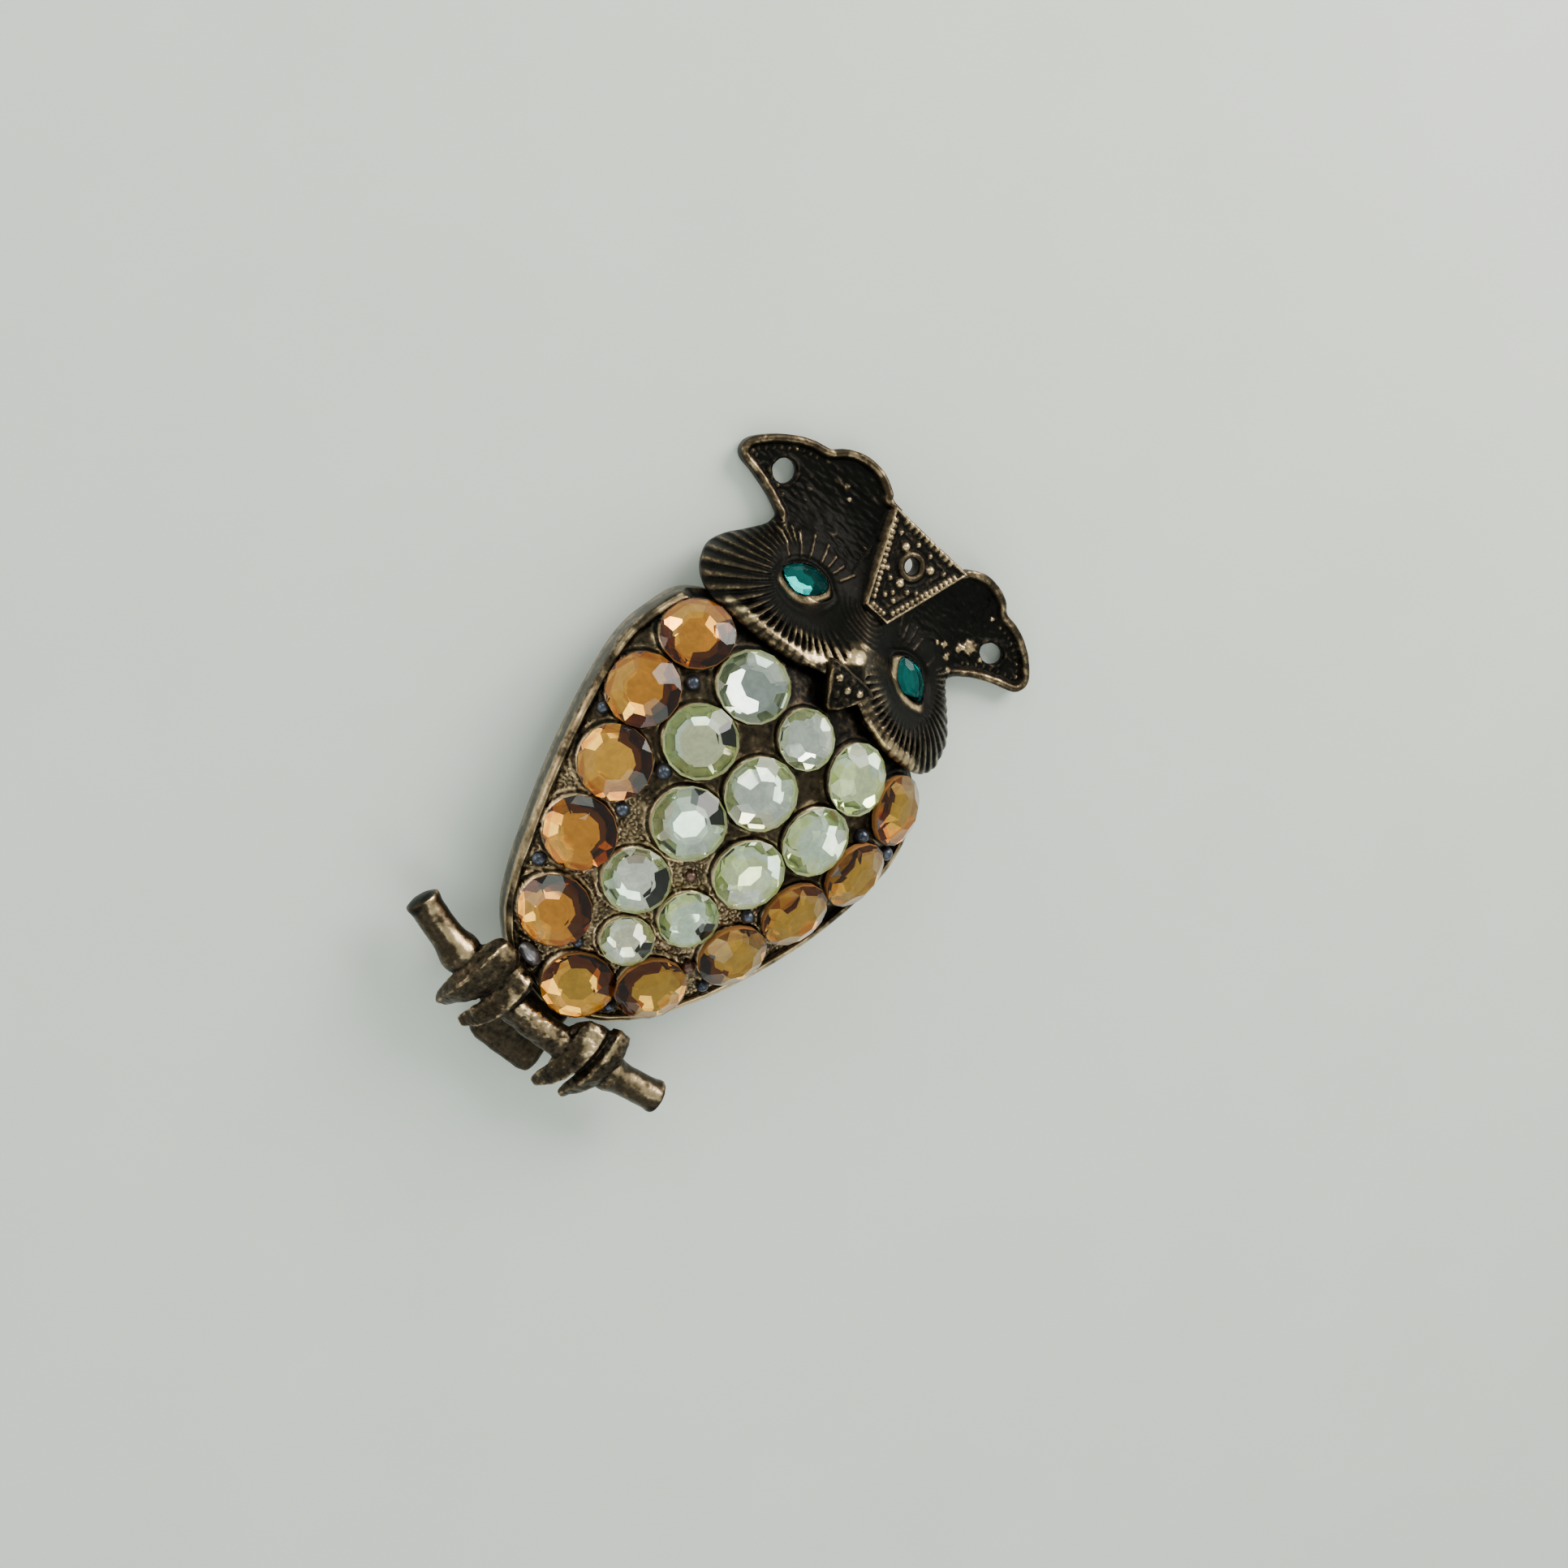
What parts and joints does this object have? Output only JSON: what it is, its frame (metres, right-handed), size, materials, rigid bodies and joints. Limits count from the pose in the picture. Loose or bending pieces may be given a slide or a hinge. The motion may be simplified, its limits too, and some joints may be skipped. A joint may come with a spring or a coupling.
{
  "type": "owl brooch",
  "caption": "Owl brooch: domed body set with round cut stones, masked head with pointed ears and oval eyes, branch with toes, short tail, closed pin behind.",
  "frame": {"origin": "on the table under the middle of the whole jewel", "axes": "+X to the viewer's right of the owl, +Y from the branch to the ears, +Z off the table"},
  "size_m": [0.035, 0.0605, 0.0148],
  "materials": {
    "antique_bronze": "dark antique patina, worn bright on its high places",
    "pin_metal": "plain, lightly tarnished",
    "amber_glass": "cut and polished, foiled behind",
    "clear_glass": "cut and polished, foiled behind",
    "teal_glass": "cut and polished, foiled behind",
    "bead_metal": "gunmetal, soft shine"
  },
  "bodies": {
    "root": {"body_shell": "antique_bronze", "head": "antique_bronze", "perch": "antique_bronze", "tail": "antique_bronze", "pin_back": "pin_metal", "eye_left": "teal_glass", "eye_right": "teal_glass", "amber_01": "amber_glass", "amber_02": "amber_glass", "amber_03": "amber_glass", "amber_04": "amber_glass", "amber_05": "amber_glass", "amber_06": "amber_glass", "amber_07": "amber_glass", "amber_08": "amber_glass", "amber_09": "amber_glass", "amber_10": "amber_glass", "amber_11": "amber_glass", "clear_01": "clear_glass", "clear_02": "clear_glass", "clear_03": "clear_glass", "clear_04": "clear_glass", "clear_05": "clear_glass", "clear_06": "clear_glass", "clear_07": "clear_glass", "clear_08": "clear_glass", "clear_09": "clear_glass", "clear_10": "clear_glass", "clear_11": "clear_glass", "ball_01": "bead_metal", "ball_02": "bead_metal", "ball_03": "bead_metal", "ball_04": "bead_metal", "ball_05": "bead_metal", "ball_06": "bead_metal", "ball_07": "bead_metal", "ball_08": "bead_metal", "ball_09": "bead_metal", "ball_10": "bead_metal", "ball_11": "bead_metal", "ball_12": "bead_metal", "ball_13": "bead_metal", "ball_14": "bead_metal"}
  },
  "joints": []
}
